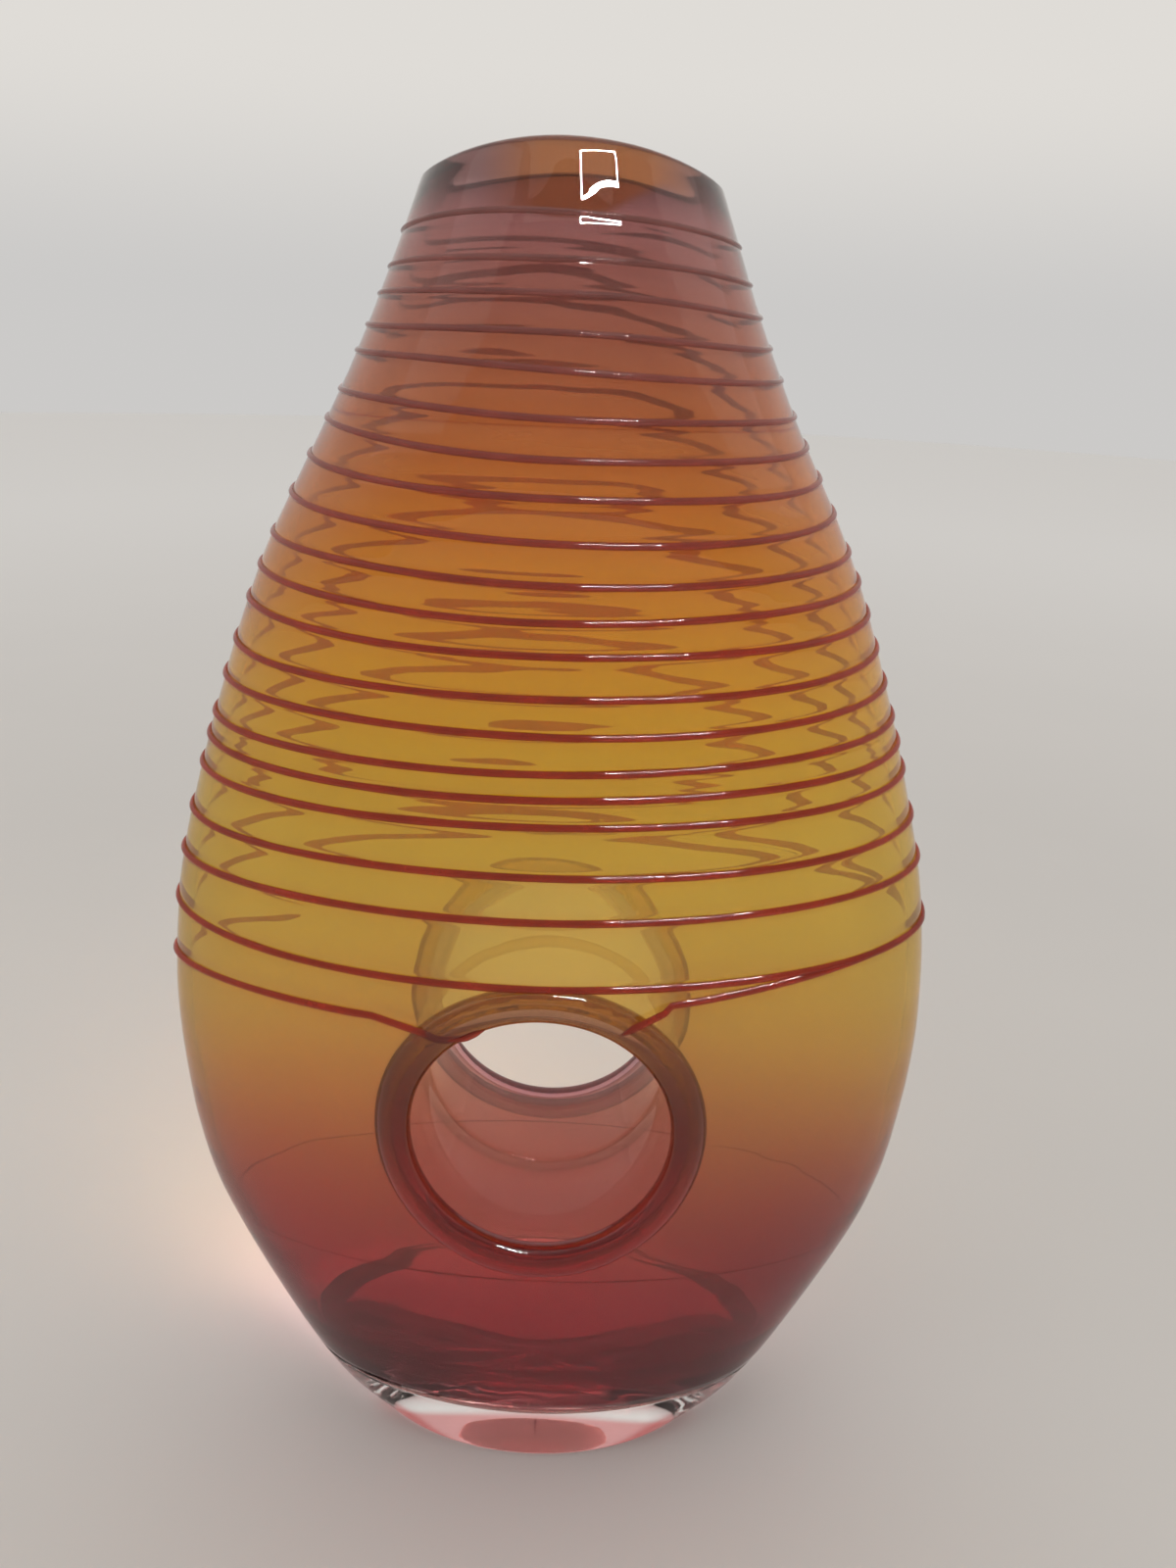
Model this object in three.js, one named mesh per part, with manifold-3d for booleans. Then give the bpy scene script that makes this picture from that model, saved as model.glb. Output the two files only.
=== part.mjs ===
// Hand blown art glass vase with a round hole through the body.
// Millimetres, +Z up. The origin is the centre of the flat foot, +X runs along the wide way
// and the front faces -Y. Every mesh is one gather or bit of glass.

import * as THREE from 'three';
import { mergeVertices } from 'three/addons/utils/BufferGeometryUtils.js';
import Module from 'manifold-3d';

const wasm = await Module();
wasm.setup();

// ---- driving dimensions -------------------------------------------------------------------

const HEIGHT = 400;
const RIM_DIP = 6; // the rim is this much lower at the two sides than at front and back
const RIM_DIP_START = 300; // the dip fades in above this height
const GAP = 0.3; // clearance between pieces that touch

const CASING_WALL = 3.2;
const LINING_GAP = 0.6; // keeps the faceted colour layer off the faceted casing
const LINING_WALL = 1.4;
const BASE_PAD_HEIGHT = 16;
const FOOT_FLOOR = 2.5; // thickness of the ruby floor of the cavity
const FOOT_LINING_TOP = 80;
const NECK_LINING_START = 340;
const EDGE_ROUND = 1.2; // bevel at the rim and round the foot

const HOLE_HEIGHT = 136;
const HOLE_TALLNESS = 1.09; // the hole is this much taller than it is wide
const HOLE_CUT_RADIUS = 49.8;
const LIP_RADIUS = 44.2; // centre line of the rolled lip
const LIP_HALF_WIDTH = 4.9;
const LIP_HALF_THICKNESS = 4.2;
const LIP_PROUD = 2.4; // the lip stands this far out of the body
const THROAT_RADIUS = 38.5; // at the seam in the middle of the tunnel
const TUNNEL_MOUTH_RADIUS = 40.2;
const TUNNEL_WALL = 4.5;

const TRAIL_RADIUS = 1.1;
const TRAIL_CLEARANCE = 0.6; // keeps the faceted thread off the faceted wall
const TRAIL_SIDES = 5;

const SEGMENTS = 30; // round the body and per turn of the thread
const HOLE_SEGMENTS = 32;
const LEVEL_STEP = 20; // walls that lie on each other bend at the same heights
const TAU = 2 * Math.PI;

// Half the width and half the depth of the body, as [height, size]
const halfWidth = smoothThrough([
  [0, 60], [14, 76], [54, 97.5], [95, 113], [142, 118.5], [180, 116.8],
  [220, 109.3], [292, 85], [345, 59.3], [370, 48.6], [HEIGHT, 37],
]);
const halfDepth = smoothThrough([
  [0, 34], [60, 41], [136, 44], [200, 47.5], [240, 50], [290, 57],
  [320, 59], [345, 56.5], [370, 48.6], [HEIGHT, 37.5],
]);

// Height of each turn of the thread where it passes the front, from the second turn upwards
const TURN_HEIGHTS = [
  192.5, 211.5, 225.5, 240, 248.5, 256, 266, 277, 287, 296.5,
  306, 316, 325.5, 334.5, 343, 351, 359, 367, 375, 383,
];
const TRAIL_START_TURN = 0.303; // the main thread leaves the upper right of the hole
const TRAIL_END_TURN = 20.6;
const LOW_TURN = [[-0.12, 173], [0, 175], [0.14, 175.5], [0.182, 176]]; // back to hole
const HOLE_EXIT = [[0.303, 187], [0.36, 191], [0.5, 195.5], [0.75, 195.5], [1, 194.5]];

// ---- shape of the body --------------------------------------------------------------------

/** A smooth curve through [position, value] pairs, as a function of position. */
function smoothThrough(points) {
  const last = points.length - 1;
  const slopes = points.map((_, i) => {
    const [x0, v0] = points[Math.max(i - 1, 0)];
    const [x1, v1] = points[Math.min(i + 1, last)];
    return (v1 - v0) / (x1 - x0);
  });
  return (x) => {
    let i = points.findIndex(([end]) => end > x) - 1;
    if (i < 0) i = x < points[0][0] ? 0 : last - 1;
    const [x0, v0] = points[i];
    const [x1, v1] = points[i + 1];
    const span = x1 - x0;
    const t = (x - x0) / span;
    const rise = t * t * (3 - 2 * t);
    const ease = t * (1 - t);
    return v0 + (v1 - v0) * rise + span * ease * ((1 - t) * slopes[i] - t * slopes[i + 1]);
  };
}

/** How far a wall of this thickness reaches inwards, level, where the profile slopes. */
function levelInset(profile, z, thickness) {
  const slope = profile(z + 0.5) - profile(z - 0.5);
  return thickness * Math.hypot(1, slope);
}

/** A point on the body at an angle and height, moved inwards by inset. */
function bodyPoint(angle, z, inset) {
  const dip = RIM_DIP * THREE.MathUtils.smoothstep(z, RIM_DIP_START, HEIGHT);
  return new THREE.Vector3(
    (halfWidth(z) - levelInset(halfWidth, z, inset)) * Math.cos(angle),
    (halfDepth(z) - levelInset(halfDepth, z, inset)) * Math.sin(angle),
    z - dip * Math.cos(angle) ** 2,
  );
}

/** Heights from low to high, with the levels in between that every wall shares. */
function heights(low, high) {
  const levels = [low];
  for (let z = LEVEL_STEP; z < high - LEVEL_STEP / 4; z += LEVEL_STEP) {
    if (z > low + LEVEL_STEP / 4) levels.push(z);
  }
  return [...levels, high];
}

/**
 * A solid of the body's shape from stations of { z, inset }. A station without an inset
 * is on the axis, so the outline either starts and ends on the axis or closes on itself.
 */
function bodySolid(stations) {
  const outline = stations.map(({ z, inset }) => (
    new THREE.Vector2(inset === undefined ? 0 : halfWidth(z) - inset, z)
  ));
  const geometry = new THREE.LatheGeometry(outline, SEGMENTS);
  const position = geometry.attributes.position;
  for (let i = 0; i < position.count; i += 1) {
    const { z, inset } = stations[i % stations.length];
    const angle = (Math.floor(i / stations.length) / SEGMENTS) * TAU;
    const point = inset === undefined ? new THREE.Vector3(0, 0, z) : bodyPoint(angle, z, inset);
    position.setXYZ(i, point.x, point.y, point.z);
  }
  return geometry;
}

/** A wall between two insets, open at the bottom and the top. */
function bodyWall(low, high, outer, inner) {
  const levels = heights(low, high);
  const outside = levels.map((z) => ({ z, inset: outer }));
  const inside = levels.map((z) => ({ z, inset: inner })).reverse();
  return bodySolid([...outside, ...inside, outside[0]]);
}

// ---- joins and cuts -----------------------------------------------------------------------

/** The solid of a closed geometry whose vertices are merged. */
function toSolid(geometry) {
  const bare = geometry.clone();
  bare.deleteAttribute('normal');
  bare.deleteAttribute('uv');
  const merged = mergeVertices(bare, 1e-4);
  return new wasm.Manifold(new wasm.Mesh({
    numProp: 3,
    vertProperties: new Float32Array(merged.attributes.position.array),
    triVerts: new Uint32Array(merged.index.array),
  }));
}

/** The geometry of a solid, with its normals. */
function toGeometry(solid) {
  const mesh = solid.getMesh();
  const geometry = new THREE.BufferGeometry();
  geometry.setAttribute('position', new THREE.BufferAttribute(mesh.vertProperties, 3));
  geometry.setIndex(new THREE.BufferAttribute(mesh.triVerts, 1));
  geometry.computeVertexNormals();
  return geometry;
}

/** The wall with the round hole cut through it from front to back. */
function cutHole(wall) {
  const cutter = new THREE.CylinderGeometry(1, 1, 4 * HOLE_CUT_RADIUS, HOLE_SEGMENTS);
  cutter.scale(HOLE_CUT_RADIUS, 1, HOLE_CUT_RADIUS * HOLE_TALLNESS);
  cutter.translate(0, 0, HOLE_HEIGHT);
  return toGeometry(toSolid(wall).subtract(toSolid(cutter)));
}

// ---- the tunnel ---------------------------------------------------------------------------

/** How deep the body is at a place on its face, beside its depth at the hole's centre. */
function faceDepth(x, z) {
  const across = x / halfWidth(z);
  return (halfDepth(z) / halfDepth(HOLE_HEIGHT)) * Math.sqrt(1 - across * across);
}

/** A ring round the hole from its closed outline of [radius, y], draped over the body. */
function holeRing(outline, side) {
  const loop = side > 0 ? outline : [...outline].reverse();
  const points = loop.map(([radius, y]) => new THREE.Vector2(radius, side * y));
  const geometry = new THREE.LatheGeometry([...points, points[0]], HOLE_SEGMENTS);
  geometry.scale(1, 1, HOLE_TALLNESS);
  geometry.translate(0, 0, HOLE_HEIGHT);
  const position = geometry.attributes.position;
  for (let i = 0; i < position.count; i += 1) {
    const depth = faceDepth(position.getX(i), position.getZ(i));
    position.setY(i, position.getY(i) * depth);
  }
  return geometry;
}

const LIP_CENTRE = halfDepth(HOLE_HEIGHT) + LIP_PROUD - LIP_HALF_THICKNESS;

/** The rolled lip: a flattened round section round the hole. side is -1 front, 1 back. */
function holeLip(side) {
  const corners = 8;
  const outline = Array.from({ length: corners }, (_, i) => {
    const angle = ((i + 0.5) / corners) * TAU;
    return [
      LIP_RADIUS + LIP_HALF_WIDTH * Math.cos(angle),
      LIP_CENTRE + LIP_HALF_THICKNESS * Math.sin(angle),
    ];
  });
  return holeRing(outline, side);
}

/** Half of the tunnel, from behind the lip to the seam in the middle. */
function tunnelWall(side) {
  const mouth = LIP_CENTRE - LIP_HALF_THICKNESS - GAP;
  const middle = mouth / 2;
  const middleRadius = (TUNNEL_MOUTH_RADIUS + THROAT_RADIUS) / 2 - 0.4;
  return holeRing([
    [THROAT_RADIUS + TUNNEL_WALL, GAP / 2],
    [middleRadius + TUNNEL_WALL, middle],
    [TUNNEL_MOUTH_RADIUS + TUNNEL_WALL, mouth],
    [TUNNEL_MOUTH_RADIUS, mouth],
    [middleRadius, middle],
    [THROAT_RADIUS, GAP / 2],
  ], side);
}

// ---- the trailed thread -------------------------------------------------------------------

const TURN_LEVELS = TURN_HEIGHTS.flatMap((z, i) => {
  const lift = 8 - 0.052 * (z - 192); // the right side of a low turn sits higher
  const turn = i + 1;
  return i === 0 ? [[turn + 0.25, z], [turn + 0.5, z + lift]]
    : [[turn, z - 0.5], [turn + 0.25, z], [turn + 0.5, z + lift]];
});

/** The thread's centre line. A whole turn number is the left side, and a quarter the front. */
class ThreadPath extends THREE.Curve {
  constructor(levels, firstTurn, lastTurn) {
    super();
    this.level = smoothThrough(levels);
    this.firstTurn = firstTurn;
    this.lastTurn = lastTurn;
    this.steps = Math.ceil((lastTurn - firstTurn) * SEGMENTS);
  }

  /** Even steps in turn, not in length, so that the thread bends where the wall does. */
  getUtoTmapping(u) {
    return u;
  }

  getPoint(t) {
    const turn = THREE.MathUtils.lerp(this.firstTurn, this.lastTurn, t);
    return bodyPoint(Math.PI + turn * TAU, this.level(turn), -TRAIL_RADIUS - TRAIL_CLEARANCE);
  }
}

/** A round thread of glass along a path. */
function thread(path) {
  const section = new THREE.Shape(Array.from({ length: TRAIL_SIDES }, (_, i) => (
    new THREE.Vector2(
      TRAIL_RADIUS * Math.cos((i / TRAIL_SIDES) * TAU),
      TRAIL_RADIUS * Math.sin((i / TRAIL_SIDES) * TAU),
    )
  )));
  return new THREE.ExtrudeGeometry(section, { steps: path.steps, extrudePath: path });
}

// ---- the pieces of glass ------------------------------------------------------------------

function clearCasing() {
  const low = BASE_PAD_HEIGHT + GAP;
  const levels = heights(low, HEIGHT - EDGE_ROUND);
  const outside = levels.map((z) => ({ z, inset: 0 }));
  const rim = [
    { z: HEIGHT, inset: EDGE_ROUND },
    { z: HEIGHT, inset: CASING_WALL - EDGE_ROUND / 2 },
  ];
  const inside = levels.map((z) => ({ z, inset: CASING_WALL })).reverse();
  return cutHole(bodySolid([...outside, ...rim, ...inside, outside[0]]));
}

function neckLining() {
  const inner = CASING_WALL + LINING_GAP + LINING_WALL;
  return bodyWall(NECK_LINING_START, HEIGHT - 2 * EDGE_ROUND, CASING_WALL + LINING_GAP, inner);
}

function bodyLining() {
  const inner = CASING_WALL + LINING_GAP + LINING_WALL;
  const top = NECK_LINING_START - GAP;
  return cutHole(bodyWall(FOOT_LINING_TOP + GAP, top, CASING_WALL + LINING_GAP, inner));
}

function footLining() {
  const low = BASE_PAD_HEIGHT + GAP;
  const floor = low + FOOT_FLOOR;
  const outer = CASING_WALL + LINING_GAP;
  const outside = heights(low, FOOT_LINING_TOP).map((z) => ({ z, inset: outer }));
  const inside = heights(floor, FOOT_LINING_TOP).map((z) => (
    { z, inset: outer + LINING_WALL }
  )).reverse();
  return bodySolid([{ z: low }, ...outside, ...inside, { z: floor }]);
}

function basePad() {
  const outside = [EDGE_ROUND, BASE_PAD_HEIGHT / 2, BASE_PAD_HEIGHT].map((z) => ({ z, inset: 0 }));
  const ground = { z: 0, inset: EDGE_ROUND };
  return bodySolid([{ z: 0 }, ground, ...outside, { z: BASE_PAD_HEIGHT }]);
}

const clearGlass = { color: 0xdfe0da, roughness: 0.05, metalness: 0 };
const amberGlass = { color: 0xd9a02a, roughness: 0.05, metalness: 0 };
const rubyGlass = { color: 0x8c1f2b, roughness: 0.05, metalness: 0 };
const purpleGlass = { color: 0x7a3440, roughness: 0.05, metalness: 0 };
const lipGlass = { color: 0x6e2330, roughness: 0.05, metalness: 0 };
const tunnelGlass = { color: 0xb07a78, roughness: 0.05, metalness: 0 };
const threadGlass = { color: 0x7d1f18, roughness: 0.1, metalness: 0 };

const mainThread = new ThreadPath([...HOLE_EXIT, ...TURN_LEVELS], TRAIL_START_TURN, TRAIL_END_TURN);
const lowThread = new ThreadPath(LOW_TURN, LOW_TURN[0][0], LOW_TURN.at(-1)[0]);

const pieces = [
  ['base_pad', basePad(), clearGlass],
  ['clear_casing', clearCasing(), clearGlass],
  ['foot_lining', footLining(), rubyGlass],
  ['body_lining', bodyLining(), amberGlass],
  ['neck_lining', neckLining(), purpleGlass],
  ['tunnel_front_wall', tunnelWall(-1), tunnelGlass],
  ['tunnel_back_wall', tunnelWall(1), tunnelGlass],
  ['front_hole_lip', holeLip(-1), lipGlass],
  ['back_hole_lip', holeLip(1), lipGlass],
  ['thread_start', thread(lowThread), threadGlass],
  ['thread_trail', thread(mainThread), threadGlass],
];

const vase = new THREE.Group();
for (const [name, geometry, finish] of pieces) {
  const mesh = new THREE.Mesh(geometry, new THREE.MeshStandardMaterial(finish));
  mesh.name = name;
  vase.add(mesh);
}

export default vase;
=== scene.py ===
"""A hand blown art glass vase with a round hole through its belly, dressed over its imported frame.

Metres, +Z up, the front faces -Y. Each gather or bit of glass is its own closed piece: a clear
casing and heel, three colour layers inside them, two halves of a tunnel with their rolled lips,
and a wound thread of dark red glass.
"""

import logging
import math
from collections.abc import Sequence
from dataclasses import dataclass
from enum import Enum

import bmesh
import bpy
import numpy as np
from bpy.types import Material, Node, NodeSocket, NodeTree, Object
from mathutils import Matrix, Vector


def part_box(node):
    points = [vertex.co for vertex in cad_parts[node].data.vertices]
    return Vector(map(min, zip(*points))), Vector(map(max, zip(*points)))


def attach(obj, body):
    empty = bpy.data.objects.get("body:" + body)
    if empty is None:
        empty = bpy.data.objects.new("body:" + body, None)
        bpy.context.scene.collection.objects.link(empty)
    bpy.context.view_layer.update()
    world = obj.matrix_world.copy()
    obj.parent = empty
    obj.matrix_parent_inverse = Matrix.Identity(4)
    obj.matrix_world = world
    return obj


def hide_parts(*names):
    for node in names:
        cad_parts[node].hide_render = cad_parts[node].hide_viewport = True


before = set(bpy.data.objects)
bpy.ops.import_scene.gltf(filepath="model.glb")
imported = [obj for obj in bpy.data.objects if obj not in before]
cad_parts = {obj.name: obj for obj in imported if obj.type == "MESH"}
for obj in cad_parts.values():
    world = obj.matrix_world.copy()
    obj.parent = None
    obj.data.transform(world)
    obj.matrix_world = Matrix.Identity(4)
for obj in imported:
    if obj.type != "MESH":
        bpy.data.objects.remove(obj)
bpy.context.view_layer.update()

LOG = logging.getLogger("vase")
MM = 0.001
TAU = 2 * math.pi
CUT_SEGMENTS = 192
CUT_LENGTH = 0.3

Colour = tuple[float, float, float]
Knots = tuple[tuple[float, float], ...]
Stops = tuple[tuple[float, Colour], ...]


# ---- the body's shape -------------------------------------------------------------------------


@dataclass(frozen=True)
class SmoothCurve:
    """A smooth curve through (position, value) knots."""

    knots: Knots

    def __call__(self, position: np.ndarray | float) -> np.ndarray:
        """The curve's value at each position.

        Args:
            position: where to read the curve.

        Returns:
            The values, as an array of the same shape.
        """
        x, value = np.array(self.knots, float).T
        slope = np.empty_like(value)
        slope[1:-1] = (value[2:] - value[:-2]) / (x[2:] - x[:-2])
        slope[0] = (value[1] - value[0]) / (x[1] - x[0])
        slope[-1] = (value[-1] - value[-2]) / (x[-1] - x[-2])
        at = np.asarray(position, float)
        i = np.clip(np.searchsorted(x, at, side="right") - 1, 0, len(x) - 2)
        span = x[i + 1] - x[i]
        t = (at - x[i]) / span
        rise = t * t * (3 - 2 * t)
        ease = t * (1 - t) * span
        return value[i] + (value[i + 1] - value[i]) * rise + ease * ((1 - t) * slope[i] - t * slope[i + 1])


@dataclass(frozen=True)
class BodyShape:
    """The blown body: an ellipse at every height, scaled to the clear casing's box."""

    height: float
    half_width_scale: float
    half_depth_scale: float
    rim_dip: float = 6 * MM
    rim_dip_start: float = 0.75
    width_knots: Knots = (
        (0, 0.506), (0.035, 0.641), (0.135, 0.823), (0.2375, 0.954), (0.355, 1.0), (0.45, 0.986),
        (0.55, 0.922), (0.73, 0.717), (0.8625, 0.5), (0.925, 0.41), (1, 0.312),
    )
    depth_knots: Knots = (
        (0, 0.645), (0.05, 0.672), (0.15, 0.700), (0.34, 0.746), (0.5, 0.805), (0.6, 0.847), (0.725, 0.966),
        (0.8, 1.0), (0.8625, 0.958), (0.925, 0.824), (1, 0.636),
    )

    def half_width(self, z: np.ndarray | float) -> np.ndarray:
        """Half the body's width at a height."""
        return SmoothCurve(self.width_knots)(np.asarray(z) / self.height) * self.half_width_scale

    def half_depth(self, z: np.ndarray | float) -> np.ndarray:
        """Half the body's depth at a height."""
        return SmoothCurve(self.depth_knots)(np.asarray(z) / self.height) * self.half_depth_scale

    def dip(self, z: np.ndarray | float) -> np.ndarray:
        """How much lower the wall is at its two sides than at front and back."""
        t = np.clip((np.asarray(z) / self.height - self.rim_dip_start) / (1 - self.rim_dip_start), 0, 1)
        return self.rim_dip * t * t * (3 - 2 * t)

    def inset(self, z: np.ndarray, depth: np.ndarray | float) -> tuple[np.ndarray, np.ndarray]:
        """Half width and half depth of a wall that lies this far inside the outer face.

        Args:
            z: heights.
            depth: distance inwards, square to the wall.

        Returns:
            Half widths and half depths.
        """
        sizes = []
        for size in (self.half_width, self.half_depth):
            slope = (size(z + 0.5 * MM) - size(z - 0.5 * MM)) / MM
            sizes.append(size(z) - depth * np.hypot(1, slope))
        return sizes[0], sizes[1]

    def point(self, angle: float, z: float, depth: float = 0.0) -> Vector:
        """A point on the body at an angle from +X, moved inwards by depth.

        Args:
            angle: the angle.
            z: the height, before the rim's dip.
            depth: distance inwards, square to the wall.

        Returns:
            The point.
        """
        wide, deep = self.inset(np.array(z), depth)
        drop = float(self.dip(z)) * math.cos(angle) ** 2
        return Vector((float(wide) * math.cos(angle), float(deep) * math.sin(angle), z - drop))

    def face_depth(self, x: np.ndarray, z: np.ndarray) -> np.ndarray:
        """How far the body's face stands from the middle plane at a place across it."""
        across = np.clip(x / self.half_width(z), -0.999, 0.999)
        return self.half_depth(z) * np.sqrt(1 - across**2)


@dataclass(frozen=True)
class ThreadPath:
    """Where the trailed thread runs: its height against the turn, left side 0, front 0.25, right 0.5."""

    turn_heights: tuple[float, ...] = (
        190.5, 211.5, 225.5, 240, 248.5, 256, 266.5, 276.5, 287.5, 296.5,
        305, 315, 324.5, 333.5, 342, 352, 359.5, 367.5, 375, 384,
    )
    low_turn: Knots = ((-0.12, 170), (0, 174.8), (0.1, 177.2), (0.182, 176.4))
    hole_exit: Knots = (
        (0.30, 185), (0.36, 191.5), (0.42, 196), (0.5, 197), (0.75, 196.5), (1.0, 194.5),
    )
    left_rise: Knots = (
        (190, -1.0), (250, -1.4), (275, 0.0), (300, 1.3), (330, 4.2), (352, 4.2), (368, 3.0), (384, 2.6),
    )
    right_rise: Knots = (
        (190, 7.6), (230, 5.0), (260, 5.0), (300, 2.6), (330, 2.6), (352, 1.2), (368, 2.0), (384, 2.2),
    )
    first_turn: float = 0.30
    last_turn: float = 20.72
    levelled_turn: float = 20.75
    pitch_beyond: float = 9 * MM

    def main_level(self, turn: np.ndarray) -> np.ndarray:
        """The long stretch's height in metres.

        Args:
            turn: turn numbers.

        Returns:
            The heights, before the rim's dip.
        """
        left, right = SmoothCurve(self.left_rise), SmoothCurve(self.right_rise)
        knots = list(self.hole_exit)
        for number, z in enumerate(self.turn_heights, start=1):
            if number > 1:
                knots.append((number, z + float(left(z))))
            knots += [(number + 0.25, z), (number + 0.5, z + float(right(z)))]
        return SmoothCurve(tuple(knots))(turn) * MM

    def low_level(self, turn: np.ndarray) -> np.ndarray:
        """The first stretch's height in metres."""
        return SmoothCurve(self.low_turn)(turn) * MM

    def nearest(self, angle: np.ndarray, level: np.ndarray) -> tuple[np.ndarray, np.ndarray, np.ndarray]:
        """How a place on the body lies to the thread.

        Args:
            angle: angles from +X.
            level: heights before the rim's dip.

        Returns:
            The turn count, which is whole on the thread, the pitch there in metres, and the
            share, 0 or 1, that says whether the nearest turn is really laid there.
        """
        part = ((angle - math.pi) / TAU) % 1.0
        turns = np.arange(0, 21)[:, None] + part[None, :]
        wound = self.main_level(np.minimum(turns, self.levelled_turn))
        heights = np.where(turns < self.first_turn, self.low_level(turns), wound)
        beyond = turns - self.levelled_turn
        heights = np.where(beyond > 0, heights + beyond * self.pitch_beyond, heights)
        edge = 12 * MM
        heights = np.vstack([heights[0] - edge, heights, heights[-1] + edge])
        count = np.array([np.interp(z, column, np.arange(-1, 22)) for z, column in zip(level, heights.T)])
        lower = np.clip(np.floor(count).astype(int), -1, 20)
        index = np.arange(len(level))
        pitch = heights[lower + 2, index] - heights[lower + 1, index]
        whole = np.round(count)
        turn = whole + part
        starts = np.clip((self.low_turn[-1][0] - turn) / 0.01, 0, 1) * (turn > self.low_turn[0][0])
        goes_on = np.clip((turn - self.first_turn - 0.03) / 0.02, 0, 1)
        ends = np.clip((self.last_turn - turn) / 0.05, 0, 1)
        real = (whole >= 0) & (level > heights[0]) & (level < heights[-1])
        thinning = 1 - 0.75 * np.clip((level - 0.25) / 0.1, 0, 1)
        return count, pitch, np.maximum(starts, goes_on) * ends * real * thinning


@dataclass(frozen=True)
class HoleShape:
    """The round hole from front to back, taller than it is wide."""

    height: float
    tallness: float
    lip_radius: float
    lip_half_width: float
    lip_half_thickness: float
    lip_middle: float
    cut_radius: float
    mouth_radius: float
    throat_radius: float
    wall: float


def body_from_frame() -> BodyShape:
    """The body, sized by the casing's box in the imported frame."""
    low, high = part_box("clear_casing")
    half_width, half_depth = (high[0] - low[0]) / 2, (high[1] - low[1]) / 2
    return BodyShape(height=high[2], half_width_scale=half_width, half_depth_scale=half_depth)


def hole_from_frame(body: BodyShape) -> HoleShape:
    """The hole, placed and sized by the box of the front lip.

    Args:
        body: the body that the hole goes through.

    Returns:
        The hole's place and sizes.
    """
    low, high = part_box("front_hole_lip")
    width, tall = high[0] - low[0], high[2] - low[2]
    height = (low[2] + high[2]) / 2
    half_width, half_thickness = 5.3 * MM, 4.4 * MM
    proud = 1.9 * MM
    return HoleShape(
        height=height,
        tallness=tall / width,
        lip_radius=width / 2 - half_width + 0.8 * MM,
        lip_half_width=half_width,
        lip_half_thickness=half_thickness,
        lip_middle=float(body.half_depth(height)) + proud - half_thickness,
        cut_radius=width / 2 - 4.5 * MM,
        mouth_radius=40.4 * MM,
        throat_radius=38.6 * MM,
        wall=4.0 * MM,
    )


# ---- node trees -------------------------------------------------------------------------------


class Nodes:
    """A short way to add and join the nodes of one tree."""

    def __init__(self, tree: NodeTree) -> None:
        """Starts on a tree."""
        self.tree = tree

    def add(self, kind: str, inputs: dict | None = None, **settings: object) -> Node:
        """Adds a node.

        Args:
            kind: the node's type name.
            inputs: values or output sockets for its inputs, by name or number.
            **settings: the node's own properties.

        Returns:
            The node.
        """
        node = self.tree.nodes.new(kind)
        for name, value in settings.items():
            setattr(node, name, value)
        for key, value in (inputs or {}).items():
            socket = node.inputs[key]
            if isinstance(value, NodeSocket):
                self.tree.links.new(value, socket)
            else:
                socket.default_value = value
        return node

    def out(self, kind: str, inputs: dict | None = None, **settings: object) -> NodeSocket:
        """The first output of a node that is added."""
        return self.add(kind, inputs, **settings).outputs[0]

    def math(self, operation: str, *values: object) -> NodeSocket:
        """The result of a Math node on these values."""
        return self.out("ShaderNodeMath", dict(enumerate(values)), operation=operation)

    def times(self, *values: object) -> NodeSocket:
        """The product of two values."""
        return self.math("MULTIPLY", *values)

    def named(self, name: str) -> NodeSocket:
        """A float attribute of the geometry."""
        return self.out("GeometryNodeInputNamedAttribute", {"Name": name}, data_type="FLOAT")

    def place(self) -> NodeSocket:
        """Object coordinates."""
        return self.add("ShaderNodeTexCoord").outputs["Object"]

    def split(self, vector: NodeSocket) -> Sequence[NodeSocket]:
        """The X, Y and Z of a vector."""
        return self.add("ShaderNodeSeparateXYZ", {0: vector}).outputs

    def remap(self, value: object, low: float, high: float, smooth: bool = False) -> NodeSocket:
        """How far a value has gone from low to high, from 0 to 1."""
        kind = "SMOOTHSTEP" if smooth else "LINEAR"
        return self.out("ShaderNodeMapRange", {0: value, 1: low, 2: high}, interpolation_type=kind)

    def noise(self, vector: object, scale: object, detail: float, **settings: float) -> NodeSocket:
        """The value of a noise texture."""
        inputs = {"Vector": vector, "Scale": scale, "Detail": detail, **settings}
        return self.out("ShaderNodeTexNoise", inputs)

    def ramp(
        self, factor: NodeSocket, stops: Stops,
    ) -> NodeSocket:
        """A smooth colour ramp through (position, colour) stops.

        Args:
            factor: where to read the ramp, from 0 to 1.
            stops: the positions and their colours.

        Returns:
            The colour.
        """
        node = self.add("ShaderNodeValToRGB", {0: factor})
        node.color_ramp.interpolation = "B_SPLINE"
        elements = node.color_ramp.elements
        while len(elements) < len(stops):
            elements.new(0.5)
        for element, (position, colour) in zip(elements, stops):
            element.position, element.color = position, (*colour, 1)
        return node.outputs[0]

    def mix(self, factor: object, first: object, second: object, blend: str = "MIX") -> NodeSocket:
        """The colour between two colours, by a factor.

        Args:
            factor: a number or a socket.
            first: the colour at 0.
            second: the colour at 1.
            blend: the way of blending.

        Returns:
            The colour.
        """
        node = self.tree.nodes.new("ShaderNodeMix")
        node.data_type, node.blend_type = "RGBA", blend
        for socket, value in ((node.inputs[0], factor), (node.inputs[6], first), (node.inputs[7], second)):
            if isinstance(value, NodeSocket):
                self.tree.links.new(value, socket)
            else:
                socket.default_value = value
        return node.outputs[2]


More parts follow.
